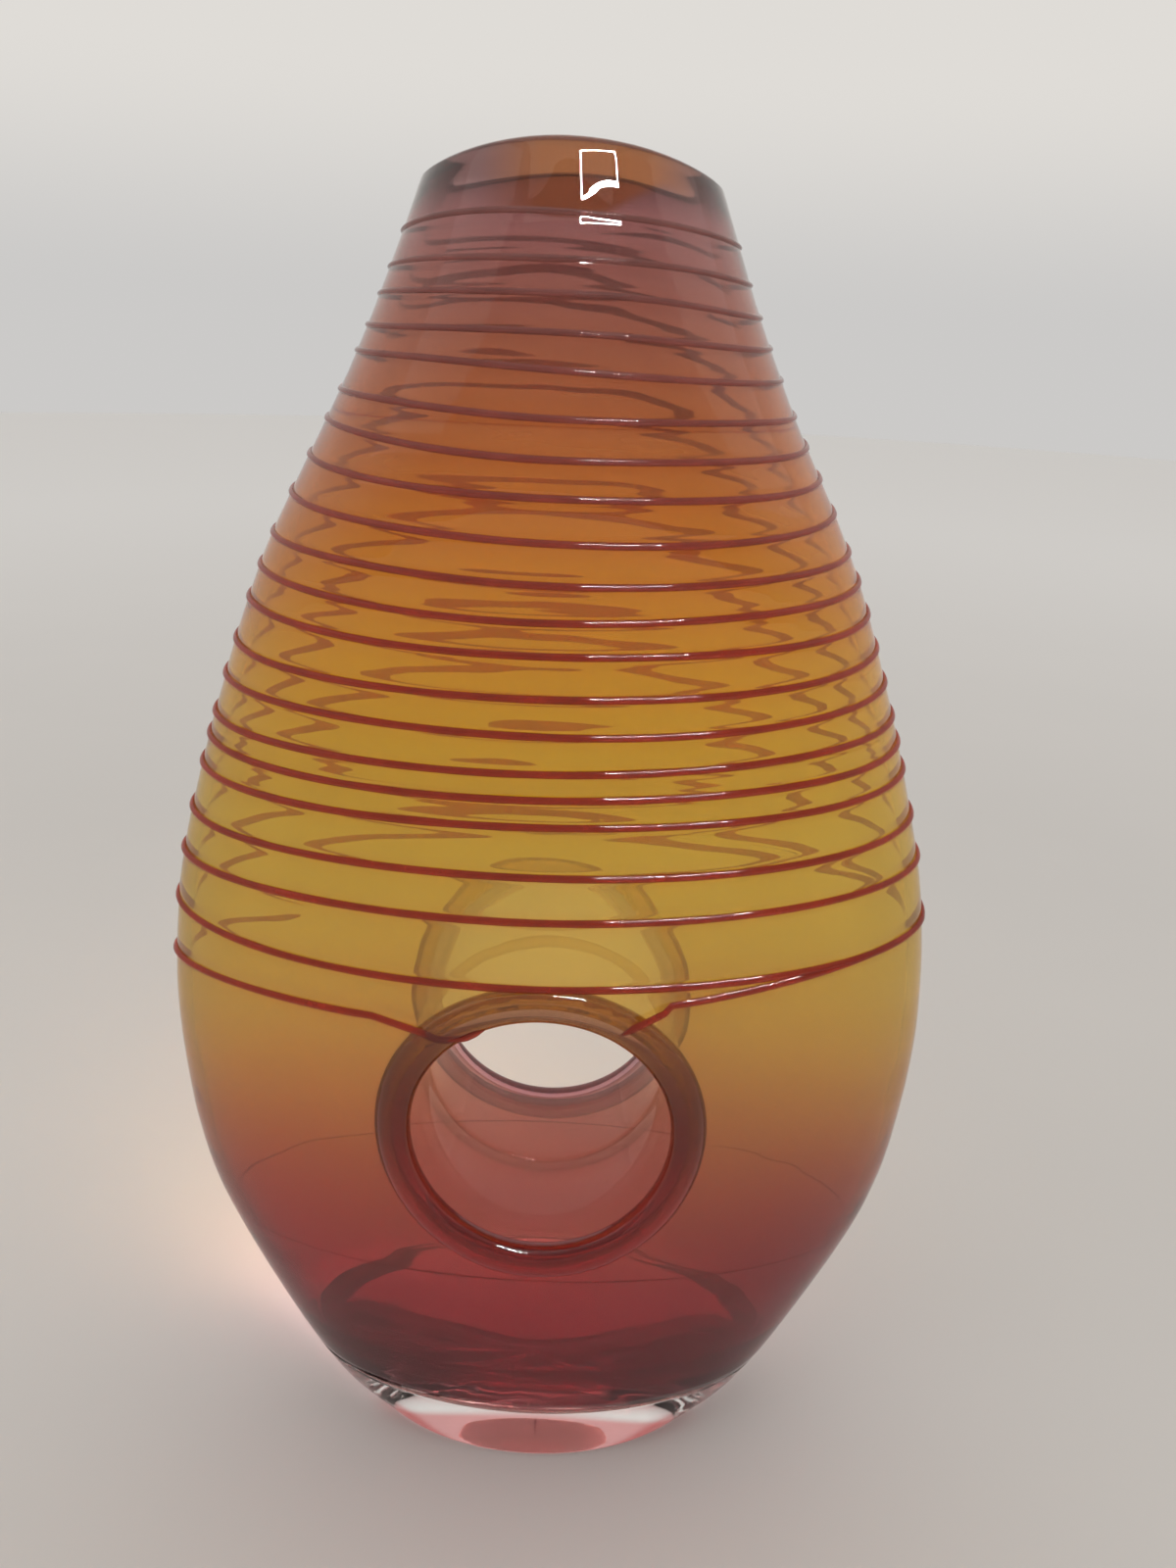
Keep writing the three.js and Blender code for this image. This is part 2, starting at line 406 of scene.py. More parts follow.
def new_group(
    kind: str, name: str, inputs: dict[str, str | float], outputs: dict[str, str],
) -> tuple[Nodes, Sequence[NodeSocket]]:
    """A new node group with named inputs and outputs.

    Args:
        kind: ShaderNodeTree or GeometryNodeTree.
        name: the group's name.
        inputs: a default number, or a socket type, by input name.
        outputs: a socket type by output name.

    Returns:
        The group's nodes, and the sockets that give its inputs.
    """
    tree = bpy.data.node_groups.new(name, kind)
    for in_out, sockets in (("INPUT", inputs), ("OUTPUT", outputs)):
        for title, given in sockets.items():
            word = given if isinstance(given, str) else type(given).__name__.capitalize()
            socket = tree.interface.new_socket(title, in_out=in_out, socket_type="NodeSocket" + word)
            if word != given:
                socket.default_value = given
    g = Nodes(tree)
    return g, g.add("NodeGroupInput").outputs


def set_inputs(modifier: bpy.types.Modifier, values: dict[str, object]) -> None:
    """Sets a Geometry Nodes modifier's inputs by their sockets' identifiers.

    Args:
        modifier: the modifier.
        values: values by input name.
    """
    names = {item.name: item.identifier for item in modifier.node_group.interface.items_tree}
    for name, value in values.items():
        modifier[names[name]] = value


def finished(g: Nodes, shape: NodeSocket, glass: NodeSocket) -> NodeTree:
    """Ends a Geometry Nodes tree with smooth shading, real geometry and its glass.

    Args:
        g: the tree's nodes.
        shape: the geometry.
        glass: the material.

    Returns:
        The tree.
    """
    smooth = g.out("GeometryNodeSetShadeSmooth", {"Geometry": shape})
    real = g.out("GeometryNodeRealizeInstances", {"Geometry": smooth})
    g.add("NodeGroupOutput", {0: g.out("GeometryNodeSetMaterial", {"Geometry": real, "Material": glass})})
    return g.tree


def elliptic_lathe_tree() -> NodeTree:
    """Geometry Nodes that turn an outline into an elliptic blown form with a faint hand-made ripple.

    The outline is a chain of points that carry half_width, half_depth, level, dip and ripple.

    Returns:
        The tree.
    """
    g, given = new_group("GeometryNodeTree", "Elliptic Lathe", {
        "Outline": "Geometry", "Segments": 128, "Ripple": 0.0, "Ripple Scale": 30.0, "Seed": 0.0,
        "Glass": "Material",
    }, {"Mesh": "Geometry"})
    count = g.add("GeometryNodeAttributeDomainSize", {"Geometry": given["Outline"]}, component="MESH")
    rows = count.outputs["Point Count"]
    columns = g.math("ADD", given["Segments"], 1)
    grid = g.out("GeometryNodeMeshGrid", {
        "Size X": 1, "Size Y": 1, "Vertices X": columns, "Vertices Y": rows,
    })
    x, y, _ = g.split(g.out("GeometryNodeInputPosition"))
    angle = g.times(g.math("ADD", x, 0.5), TAU)
    last_row = g.math("SUBTRACT", rows, 1)
    row = g.math("ROUND", g.times(g.math("ADD", y, 0.5), last_row))

    def sampled(name: str) -> NodeSocket:
        """An attribute of the outline at this row."""
        return g.out("GeometryNodeSampleIndex", {
            "Geometry": given["Outline"], "Value": g.named(name), "Index": row,
        }, data_type="FLOAT", domain="POINT")

    cosine = g.math("COSINE", angle)
    drop = g.times(sampled("dip"), g.times(cosine, cosine))
    corner = g.out("ShaderNodeCombineXYZ", {
        0: g.times(sampled("half_width"), cosine),
        1: g.times(sampled("half_depth"), g.math("SINE", angle)),
        2: g.math("SUBTRACT", sampled("level"), drop),
    })
    stored = g.out("GeometryNodeStoreNamedAttribute", {
        "Geometry": grid, "Name": "ripple", "Value": sampled("ripple"),
    }, data_type="FLOAT", domain="POINT")
    placed = g.out("GeometryNodeSetPosition", {"Geometry": stored, "Position": corner})
    closed = g.out("GeometryNodeMergeByDistance", {"Geometry": placed, "Distance": 1e-6})
    stretch = g.out("ShaderNodeVectorMath", {
        0: g.out("GeometryNodeInputPosition"), 1: (1.0, 1.0, 2.4),
    }, operation="MULTIPLY")
    noise = g.out("ShaderNodeTexNoise", {
        "Vector": stretch, "W": given["Seed"], "Scale": given["Ripple Scale"], "Detail": 1.0,
    }, noise_dimensions="4D")
    weight = g.named("ripple")
    swing = g.math("SUBTRACT", noise, 0.5)
    push = g.times(swing, g.times(given["Ripple"], weight))
    offset = g.out("ShaderNodeVectorMath", {
        0: g.out("GeometryNodeInputNormal"), "Scale": push,
    }, operation="SCALE")
    rippled = g.out("GeometryNodeSetPosition", {"Geometry": closed, "Offset": offset})
    return finished(g, rippled, given["Glass"])


def glass_thread_tree() -> NodeTree:
    """Geometry Nodes that lay a round glass thread of uneven thickness along a chain of points.

    The points carry thickness, the thread's radius there.

    Returns:
        The tree.
    """
    g, given = new_group("GeometryNodeTree", "Glass Thread", {
        "Path": "Geometry", "Sides": 12, "Roundness": 1.35, "Flatness": 0.7, "Unevenness": 0.2,
        "Unevenness Scale": 60.0, "Seed": 0.0, "Glass": "Material",
    }, {"Mesh": "Geometry"})
    curve = g.out("GeometryNodeMeshToCurve", {"Mesh": given["Path"]})
    noise = g.out("ShaderNodeTexNoise", {
        "Vector": g.out("GeometryNodeInputPosition"), "W": given["Seed"],
        "Scale": given["Unevenness Scale"], "Detail": 2.0,
    }, noise_dimensions="4D")
    swing = g.times(g.math("SUBTRACT", noise, 0.5), given["Unevenness"])
    radius = g.times(g.named("thickness"), g.math("ADD", swing, 1.0))
    turned = g.add("GeometryNodeSetCurveNormal", {"Curve": curve})
    if "Mode" in turned.inputs:
        turned.inputs["Mode"].default_value = "Z Up"
    else:
        turned.mode = "Z_UP"
    sized = g.out("GeometryNodeSetCurveRadius", {"Curve": turned.outputs[0], "Radius": radius})
    circle = g.out("GeometryNodeCurvePrimitiveCircle", {
        "Resolution": given["Sides"], "Radius": 1.0,
    }, mode="RADIUS")
    spot = g.split(g.out("GeometryNodeInputPosition"))
    powers = [g.math("POWER", g.math("ABSOLUTE", spot[k]), given["Roundness"]) for k in (0, 1)]
    norm = g.math("POWER", g.math("ADD", *powers), g.math("DIVIDE", -1.0, given["Roundness"]))
    shaped = g.out("ShaderNodeCombineXYZ", {
        0: g.times(g.times(spot[0], norm), given["Flatness"]),
        1: g.times(spot[1], norm),
    })
    section = g.out("GeometryNodeSetPosition", {"Geometry": circle, "Position": shaped})
    read_radius = g.out("GeometryNodeInputRadius")
    swept = g.add("GeometryNodeCurveToMesh", {
        "Curve": sized, "Profile Curve": section, "Fill Caps": True,
    })
    if "Scale" in swept.inputs:
        g.tree.links.new(read_radius, swept.inputs["Scale"])
    return finished(g, swept.outputs[0], given["Glass"])


# ---- mesh helpers -----------------------------------------------------------------------------


def in_scene(name: str, data: bpy.types.ID) -> Object:
    """A new object of the scene, which holds this data.

    Args:
        name: its name.
        data: a mesh, lamp or camera.

    Returns:
        The object.
    """
    thing = bpy.data.objects.new(name, data)
    bpy.context.scene.collection.objects.link(thing)
    return thing


def store(mesh: bpy.types.Mesh, attributes: dict[str, np.ndarray]) -> None:
    """Gives each point of a mesh a number for each named array."""
    for name, values in attributes.items():
        mesh.attributes.new(name, "FLOAT", "POINT").data.foreach_set("value", np.asarray(values, np.float32))


def chain(points: np.ndarray, attributes: dict[str, np.ndarray]) -> Object:
    """A chain of points joined by edges, with a float attribute for each named array.

    Args:
        points: the points' places.
        attributes: values by attribute name.

    Returns:
        An object that holds the chain.
    """
    mesh = bpy.data.meshes.new("chain")
    count = len(points)
    edges = [(i, i + 1) for i in range(count - 1)]
    mesh.from_pydata([tuple(p) for p in points], edges, [])
    store(mesh, attributes)
    return in_scene("chain", mesh)


def evaluated_piece(source: Object, name: str) -> Object:
    """A plain mesh object from a source's evaluated modifiers, in place of the source.

    Args:
        source: the object with live modifiers, which is removed.
        name: the new piece's name.

    Returns:
        The new object, with its faces pointing outwards.
    """
    mesh = bpy.data.meshes.new_from_object(source.evaluated_get(bpy.context.evaluated_depsgraph_get()))
    bpy.data.objects.remove(source)
    mesh.name = name
    for attribute in [a for a in mesh.attributes if a.name in ("ripple", "thickness")]:
        mesh.attributes.remove(attribute)
    shape = bmesh.new()
    shape.from_mesh(mesh)
    bmesh.ops.remove_doubles(shape, verts=shape.verts, dist=1e-7)
    if shape.calc_volume(signed=True) < 0:
        bmesh.ops.reverse_faces(shape, faces=shape.faces)
    shape.to_mesh(mesh)
    shape.free()
    for polygon in mesh.polygons:
        polygon.use_smooth = True
    return in_scene(name, mesh)


def with_geometry_nodes(
    source: Object, tree: NodeTree, values: dict[str, object], name: str,
) -> Object:
    """Runs a Geometry Nodes tree on a source and keeps the result as a plain piece.

    Args:
        source: the object that carries the tree's attributes, which is removed.
        tree: the tree.
        values: values by input name.
        name: the piece's name.

    Returns:
        The piece.
    """
    modifier = source.modifiers.new("shape", "NODES")
    modifier.node_group = tree
    set_inputs(modifier, values)
    return evaluated_piece(source, name)


def grid_mesh(name: str, points: np.ndarray) -> Object:
    """A closed ring surface from a grid of points that wraps round both ways.

    Args:
        name: the piece's name.
        points: an array of rings x points x 3.

    Returns:
        The piece.
    """
    rings, around = points.shape[:2]
    faces = [
        (
            i * around + j,
            ((i + 1) % rings) * around + j,
            ((i + 1) % rings) * around + (j + 1) % around,
            i * around + (j + 1) % around,
        )
        for i in range(rings)
        for j in range(around)
    ]
    mesh = bpy.data.meshes.new(name)
    mesh.from_pydata(points.reshape(-1, 3).tolist(), [], faces)
    return evaluated_piece(in_scene(name, mesh), name)


def cut_through(piece: Object, hole: HoleShape, radius: float) -> Object:
    """Cuts the hole through a wall from front to back.

    Args:
        piece: the wall, which is replaced by its cut self.
        hole: the hole's place.
        radius: half the cut's width.

    Returns:
        The cut piece.
    """
    cutter = bpy.data.meshes.new("cutter")
    shape = bmesh.new()
    bmesh.ops.create_cone(
        shape, cap_ends=True, segments=CUT_SEGMENTS, radius1=radius, radius2=radius, depth=CUT_LENGTH,
        matrix=Matrix.Translation((0, 0, hole.height)) @ Matrix.Diagonal((1, 1, hole.tallness, 1))
        @ Matrix.Rotation(TAU / 4, 4, "X"),
    )
    shape.to_mesh(cutter)
    shape.free()
    tool = in_scene("cutter", cutter)
    modifier = piece.modifiers.new("hole", "BOOLEAN")
    modifier.operation, modifier.solver, modifier.object = "DIFFERENCE", "EXACT", tool
    name = piece.name
    piece.name = name + "_uncut"
    cut = evaluated_piece(piece, name)
    bpy.data.objects.remove(tool)
    return cut


# ---- finishes ---------------------------------------------------------------------------------


def colour_of_height_group() -> NodeTree:
    """A shader group for the colours of the glass, which melt into each other up the body, with a patch of
    painted light under the rim at the front.

    Returns:
        The group, with a Strength input, and a Color output that is white at strength 0.
    """
    g, given = new_group("ShaderNodeTree", "Cased Colour", {
        "Height": 0.4, "Strength": 1.0, "Streaks": 0.02,
    }, {"Color": "Color"})
    place = g.place()
    x, y, z = g.split(place)
    swirl = g.math("SUBTRACT", g.noise(place, 14.0, 3.0, Roughness=0.55), 0.5)
    share = g.math("DIVIDE", z, given["Height"])
    level = g.math("ADD", share, g.times(swirl, given["Streaks"]))
    ramp = g.ramp(level, (
        (0.00, (0.42, 0.270, 0.290)),
        (0.05, (0.42, 0.260, 0.280)),
        (0.07, (0.53, 0.135, 0.165)),
        (0.18, (0.52, 0.125, 0.150)),
        (0.26, (0.70, 0.320, 0.230)),
        (0.34, (0.85, 0.580, 0.235)),
        (0.43, (0.91, 0.725, 0.250)),
        (0.58, (0.92, 0.755, 0.190)),
        (0.68, (0.94, 0.660, 0.085)),
        (0.78, (0.86, 0.450, 0.085)),
        (0.86, (0.74, 0.365, 0.175)),
        (0.93, (0.62, 0.330, 0.305)),
        (1.00, (0.60, 0.390, 0.410)),
    ))
    # Painted light: an orange patch under the rim, at the front middle only, stands in for light that shows
    # through the neck from inside.
    near_rim = g.remap(g.math("ADD", share, g.times(swirl, 0.11)), 0.972, 0.976)
    middle = g.remap(g.math("ABSOLUTE", g.math("SUBTRACT", x, 6 * MM)), 25 * MM, 12 * MM)
    front = g.remap(y, 0.0, -5 * MM)
    dense = g.times(g.remap(share, 0.958, 0.978), front)
    purple = g.mix(dense, ramp, (0.27, 0.120, 0.115, 1))
    patch = g.times(g.times(near_rim, middle), front)
    cased = g.mix(patch, purple, (0.44, 0.165, 0.060, 1))
    g.add("NodeGroupOutput", {0: g.mix(given["Strength"], (1, 1, 1, 1), cased)})
    return g.tree


def fire_polish_group() -> NodeTree:
    """A shader group for a fire polished face: near mirror smooth, with faint rings and small seeds.

    Returns:
        The group, with Roughness and Height outputs.
    """
    g, given = new_group("ShaderNodeTree", "Fire Polish", {
        "Smoothness": 0.01, "Smear": 0.03, "Ring Scale": 60.0, "Seed Scale": 220.0,
    }, {"Roughness": "Float", "Height": "Float"})
    place = g.place()
    patch = g.remap(g.noise(place, 18.0, 4.0, Roughness=0.6), 0.5, 0.72)
    rough = g.math("ADD", given["Smoothness"], g.times(patch, given["Smear"]))
    squash = g.out("ShaderNodeMapping", {0: place, 3: (0.35, 0.35, 1.6)})
    rings = g.noise(squash, given["Ring Scale"], 2.0)
    seeds = g.add("ShaderNodeTexVoronoi", {"Vector": place, "Scale": given["Seed Scale"]})
    few = g.remap(g.noise(place, 40.0, 1.0), 0.62, 0.70)
    dots = g.times(g.remap(seeds.outputs["Distance"], 0.10, 0.02), few)
    height = g.math("ADD", g.times(rings, 0.7), g.times(dots, 0.6))
    g.add("NodeGroupOutput", {0: rough, 1: height})
    return g.tree


def thread_fillet_group() -> NodeTree:
    """A shader group for the swelling of the wall on both sides of the thread that is pressed into it.

    Returns:
        The group, with a Height output in metres.
    """
    g, given = new_group("ShaderNodeTree", "Thread Fillet", {
        "Depth": 0.26 * MM, "Reach": 1.3 * MM,
    }, {"Height": "Float"})
    read = {
        name: g.add("ShaderNodeAttribute", attribute_name=name).outputs["Fac"]
        for name in ("thread_cos", "thread_sin", "thread_pitch", "thread_laid")
    }
    turn = g.math("DIVIDE", g.math("ARCTAN2", read["thread_sin"], read["thread_cos"]), TAU)
    away = g.math("DIVIDE", g.times(turn, read["thread_pitch"]), given["Reach"])
    hollow = g.math("EXPONENT", g.times(g.times(away, away), -1.0))
    depth = g.times(g.times(hollow, read["thread_laid"]), given["Depth"])
    g.add("NodeGroupOutput", {0: g.times(depth, -1.0)})
    return g.tree


def edge_scuff_group() -> NodeTree:
    """A shader group for the fine scuffs that a foot gathers where it stands.

    Returns:
        The group, with a Mask output.
    """
    g, given = new_group("ShaderNodeTree", "Foot Scuffs", {
        "Reach": 0.004, "Scale": 900.0,
    }, {"Mask": "Float"})
    place = g.place()
    level = g.split(place)[2]
    near = g.math("SUBTRACT", 1.0, g.math("MINIMUM", g.math("DIVIDE", level, given["Reach"]), 1.0))
    grit = g.remap(g.noise(place, given["Scale"], 3.0), 0.48, 0.62)
    g.add("NodeGroupOutput", {0: g.times(near, grit)})
    return g.tree


class SharedNodes:
    """The node groups that more than one piece or finish uses, each built once."""

    def __init__(self) -> None:
        """Builds the groups."""
        self.lathe = elliptic_lathe_tree()
        self.thread = glass_thread_tree()
        self.colour = colour_of_height_group()
        self.polish = fire_polish_group()
        self.scuffs = edge_scuff_group()
        self.fillet = thread_fillet_group()


def fresh_material(name: str) -> tuple[Material, Nodes]:
    """A new material with an empty tree.

    Args:
        name: its name.

    Returns:
        The material, and the nodes of its tree.
    """
    material = bpy.data.materials.new(name)
    material.use_nodes = True
    material.node_tree.nodes.clear()
    return material, Nodes(material.node_tree)


def close_glass(g: Nodes, shader: NodeSocket, colour: NodeSocket, paleness: float) -> None:
    """Joins a glass shader to the output, with a tinted clear one for the lamps' shadow rays.

    Args:
        g: the material's nodes.
        shader: the glass shader.
        colour: the glass's colour.
        paleness: how far the colour of its shadow goes towards white.
    """
    seen = g.out("ShaderNodeBsdfTransparent", {0: g.mix(paleness, colour, (1, 1, 1, 1))})
    shadow = g.add("ShaderNodeLightPath").outputs["Is Shadow Ray"]
    mixed = g.out("ShaderNodeMixShader", {0: shadow, 1: shader, 2: seen})
    g.add("ShaderNodeOutputMaterial", {0: mixed})


@dataclass(frozen=True)
class Glass:
    """Transparent glass, tinted by height, which lets the lamps' light through."""

    name: str
    strength: float
    tint: Colour = (1.0, 1.0, 1.0)
    ior: float = 1.5
    streaks: float = 0.03
    smoothness: float = 0.0
    smear: float = 0.03
    bump: float = 0.05
    scuffed: bool = False
    filleted: bool = False
    bands: Stops = ()
    lens: Colour | None = None
    lens_top: float = 24 * MM
    lens_bow: float = 6.0
    shadow_paleness: float = 0.7
    clearness: float = 1.0
    coat: float = 0.0

    def material(self, shared: SharedNodes, height: float) -> Material:
        """Builds the material.

        Args:
            shared: the node groups.
            height: the vase's height, over which the colours run.

        Returns:
            The material.
        """
        material, g = fresh_material(self.name)
        colour = g.out("ShaderNodeGroup", {
            "Height": height, "Strength": self.strength, "Streaks": self.streaks,
        }, node_tree=shared.colour)
        tint: object = (*self.tint, 1)
        if self.bands:
            tint = g.ramp(g.math("DIVIDE", g.split(g.place())[2], height), self.bands)
        # Painted reflection: the lens tints the middle of a clear piece with the colour of glass that shows
        # in it, and leaves its corners clear.
        if self.lens:
            x, _, level = g.split(g.place())
            bow = g.times(g.times(x, x), self.lens_bow)
            arch = g.remap(g.math("ADD", level, bow), self.lens_top, 0.8 * self.lens_top, smooth=True)
            on_side = g.times(arch, g.math("GREATER_THAN", level, 0.5 * MM))
            tint = g.mix(on_side, tint, (*self.lens, 1))
        base = g.mix(1.0, colour, tint, "MULTIPLY")
        rough, uneven = g.add("ShaderNodeGroup", {
            "Smoothness": self.smoothness, "Smear": self.smear,
        }, node_tree=shared.polish).outputs
        if self.scuffed:
            scuffs = g.out("ShaderNodeGroup", node_tree=shared.scuffs)
            rough = g.math("ADD", rough, g.times(scuffs, 0.05))
        bump = g.out("ShaderNodeBump", {"Strength": self.bump, "Distance": MM, "Height": uneven})
        if self.filleted:
            fillet = g.out("ShaderNodeGroup", node_tree=shared.fillet)
            bump = g.out("ShaderNodeBump", {
                "Strength": 1.0, "Distance": 1.0, "Height": fillet, "Normal": bump,
            })
        shader = g.out("ShaderNodeBsdfPrincipled", {
            "Base Color": base, "Roughness": rough, "Normal": bump,
            "IOR": self.ior, "Transmission Weight": self.clearness, "Metallic": 0.0,
            "Coat Weight": self.coat, "Coat Roughness": 0.02, "Coat IOR": 1.5,
        })
        close_glass(g, shader, base, self.shadow_paleness)
        return material


@dataclass(frozen=True)
class ThreadGlass:
    """Deep red glass of the trailed thread, glossy outside, which turns purple towards the rim."""

    name: str = "thread_glass"
    low: Colour = (0.52, 0.07, 0.035)
    high: Colour = (0.42, 0.19, 0.17)
    body: float = 0.4
    shadow_paleness: float = 0.45

    def material(self, shared: SharedNodes, height: float) -> Material:
        """Builds the material.

        Args:
            shared: the node groups.
            height: the vase's height.

        Returns:
            The material.
        """
        material, g = fresh_material(self.name)
        place = g.place()
        up = g.remap(g.split(place)[2], 0.72 * height, 0.95 * height)
        base = g.mix(up, (*self.low, 1), (*self.high, 1))
        noise = g.noise(place, 90.0, 3.0)
        deep = g.out("ShaderNodeMapRange", {0: noise, 1: 0.3, 2: 0.7, 3: 0.85, 4: 1.1})
        grey = g.out("ShaderNodeCombineColor", {0: deep, 1: deep, 2: deep})
        varied = g.mix(1.0, base, grey, "MULTIPLY")
        shader = g.out("ShaderNodeBsdfPrincipled", {
            "Base Color": varied, "Roughness": 0.05, "IOR": 1.03, "Metallic": 0.0,
            "Transmission Weight": 1.0 - self.body,
            "Coat Weight": 0.6, "Coat Roughness": 0.05, "Coat IOR": 1.5,
        })
        close_glass(g, shader, varied, self.shadow_paleness)
        return material


def dress(piece: Object, material: Material, slot: str, *nodes: str) -> Object:
    """Gives a piece its one material and its body, and hides the CAD nodes that it stands for.

    Args:
        piece: the visual piece.
        material: its finish.
        slot: the record's material slot; not used.
        *nodes: the CAD nodes.

    Returns:
        The piece.
    """
    piece.data.materials.clear()
    piece.data.materials.append(material)
    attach(piece, "root")
    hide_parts(*nodes)
    LOG.info("%s: %d faces for %s", piece.name, len(piece.data.polygons), ", ".join(nodes))
    return piece


# ---- the pieces of glass ----------------------------------------------------------------------


@dataclass
class BlownWalls:
    """The clear casing, the three colour layers inside it and the clear heel."""

    body: BodyShape
    hole: HoleShape
    path: ThreadPath
    shared: SharedNodes
    casing_wall: float = 5.0 * MM
    floor_wall: float = 4.0 * MM
    lining_depth: float = 1.8 * MM
    lining_wall: float = 1.2 * MM
    segments: int = 256
    step: float = 2.5 * MM
    ripple: float = 0.4 * MM
    rim_roundness: float = 1.5 * MM
    rim_swelling: float = 0.4 * MM
    rim_length: float = 6 * MM
    floor_bend: tuple[float, float] = (14 * MM, 12 * MM)
    foot_gap: float = 0.2 * MM
    foot_floor: float = 2.2 * MM
    foot_bend: tuple[float, float] = (12 * MM, 9 * MM)
    heel_rise: float = 7.5 * MM
    heel_overlap: float = 0.15 * MM
    heel_bevel: float = 1.6 * MM

    def levels(self, low: float, high: float) -> np.ndarray:
        """Even heights from low to high, about a step apart."""
        return np.linspace(low, high, max(2, round((high - low) / self.step) + 1))

    def turned(
        self, name: str, z: np.ndarray, depth: np.ndarray, on_axis: tuple[float, ...] = (), seed: float = 0.0,
        ripple: float | None = None,
    ) -> Object:
        """A closed form of the body's shape from an outline of heights and depths under the outer face.

        Args:
            name: the piece's name.
            z: heights along the outline.
            depth: distance inside the outer face at each height.
            on_axis: heights at which the outline starts and ends on the axis, or none if it closes.
            seed: chooses the ripple.
            ripple: how far the faces wander, or None for the usual amount.

        Returns:
            The piece.
        """
        wide, deep = self.body.inset(z, depth)
        dip = self.body.dip(z)
        still = np.clip((z - 6 * MM) / (20 * MM), 0, 1)
        parts = [wide, deep, z, dip, still]
        if on_axis:
            first, last = on_axis
            ends = [(0, 0, first, 0, 0), (0, 0, last, 0, 0)]
            parts = [np.concatenate(([ends[0][k]], part, [ends[1][k]])) for k, part in enumerate(parts)]
        else:
            parts = [np.append(part, part[0]) for part in parts]
        names = ("half_width", "half_depth", "level", "dip", "ripple")
        points = np.column_stack([parts[0], 0 * parts[0], parts[2]])
        outline = chain(points, dict(zip(names, parts)))
        return with_geometry_nodes(outline, self.shared.lathe, {
            "Segments": self.segments, "Ripple": self.ripple if ripple is None else ripple,
            "Ripple Scale": 26.0, "Seed": seed,
        }, name)

    def casing(self) -> Object:
        """The clear casing, from the heel to a fire polished round rim."""
        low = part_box("clear_casing")[0][2] + self.heel_rise
        high = self.body.height - self.rim_roundness
        floor = low + self.floor_wall
        levels = self.levels(low, high)
        half = self.casing_wall / 2 + self.rim_swelling
        turn = np.linspace(0, math.pi, 14)[1:-1]
        bend = np.linspace(0, math.pi / 2, 13)
        inwards, upwards = self.floor_bend
        inside = self.levels(floor + upwards, high)[::-1]
        near_rim = np.clip((inside - high + self.rim_length) / self.rim_length, 0, 1)
        swollen = (2 * half - self.casing_wall) * near_rim
        z = np.concatenate([
            levels, high + self.rim_roundness * np.sin(turn), inside,
            floor + upwards * (1 - np.sin(bend[1:])),
        ])
        depth = np.concatenate([
            np.zeros(len(levels)), half - half * np.cos(turn), self.casing_wall + swollen,
            self.casing_wall + inwards * (1 - np.cos(bend[1:])),
        ])
        piece = self.turned("clear_glass_casing", z, depth, (low, floor), seed=1.0)
        piece = cut_through(piece, self.hole, self.hole.cut_radius)
        self.mark_thread(piece)
        return piece

    def mark_thread(self, piece: Object) -> None:
        """Stores how each point of a wall lies to the thread, for the glass that swells beside it.

        Args:
            piece: the wall.
        """
        mesh = piece.data
        place = np.empty(len(mesh.vertices) * 3)
        mesh.vertices.foreach_get("co", place)
        x, y, z = place.reshape(-1, 3).T
        angle = np.arctan2(y / self.body.half_depth(z), x / self.body.half_width(z))
        level = z + self.body.dip(z) * np.cos(angle) ** 2
        count, pitch, laid = self.path.nearest(angle, level)
        laid = laid * (np.hypot(x / self.body.half_width(z), y / self.body.half_depth(z)) > 0.985)
        store(mesh, {
            "thread_cos": np.cos(count * TAU), "thread_sin": np.sin(count * TAU),
            "thread_pitch": pitch, "thread_laid": laid,
        })

    def lining(self, name: str, low: float, high: float) -> Object:
        """One colour layer cased inside the clear wall, open at both ends.

        Args:
            name: the piece's name.
            low: its lower edge.
            high: its upper edge.

        Returns:
            The piece.
        """
        outer = self.lining_depth
        levels = self.levels(low, high)
        z = np.concatenate([levels, levels[::-1]])
        depth = np.concatenate([np.full(len(levels), outer), np.full(len(levels), outer + self.lining_wall)])
        return self.turned(name, z, depth, seed=1.0)

    def foot_lining(self, high: float) -> Object:
        """The ruby layer of the foot, with the rounded floor of the cavity.

        Args:
            high: its upper edge.

        Returns:
            The piece.
        """
        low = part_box("foot_lining")[0][2] + self.heel_rise
        outer = self.lining_depth
        inner = outer + self.lining_wall
        levels = self.levels(low + self.foot_gap, high)
        floor = low + self.foot_floor
        bend = np.linspace(0, math.pi / 2, 9)
        inwards, upwards = self.foot_bend
        inside = self.levels(floor + upwards, high)[::-1]
        z = np.concatenate([levels, inside, floor + upwards * (1 - np.sin(bend))])
        depth = np.concatenate([
            np.full(len(levels), outer), np.full(len(inside), inner), inner + inwards * (1 - np.cos(bend)),
        ])
        return self.turned("ruby_foot_layer", z, depth, (low + self.foot_gap, floor), seed=1.0)

    def heel(self) -> Object:
        """The thick clear heel, ground flat underneath with a softly bevelled edge."""
        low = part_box("base_pad")[0][2]
        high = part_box("clear_casing")[0][2] + self.heel_rise + self.heel_overlap
        bevel = self.heel_bevel
        turn = np.linspace(0, math.pi / 2, 8)
        side = self.levels(low + bevel, high)
        z = np.concatenate([low + bevel * (1 - np.cos(turn)), side[1:]])
        depth = np.concatenate([bevel * (1 - np.sin(turn)), np.zeros(len(side) - 1)])
        return self.turned("clear_glass_heel", z, depth, (low, high), ripple=0.0)

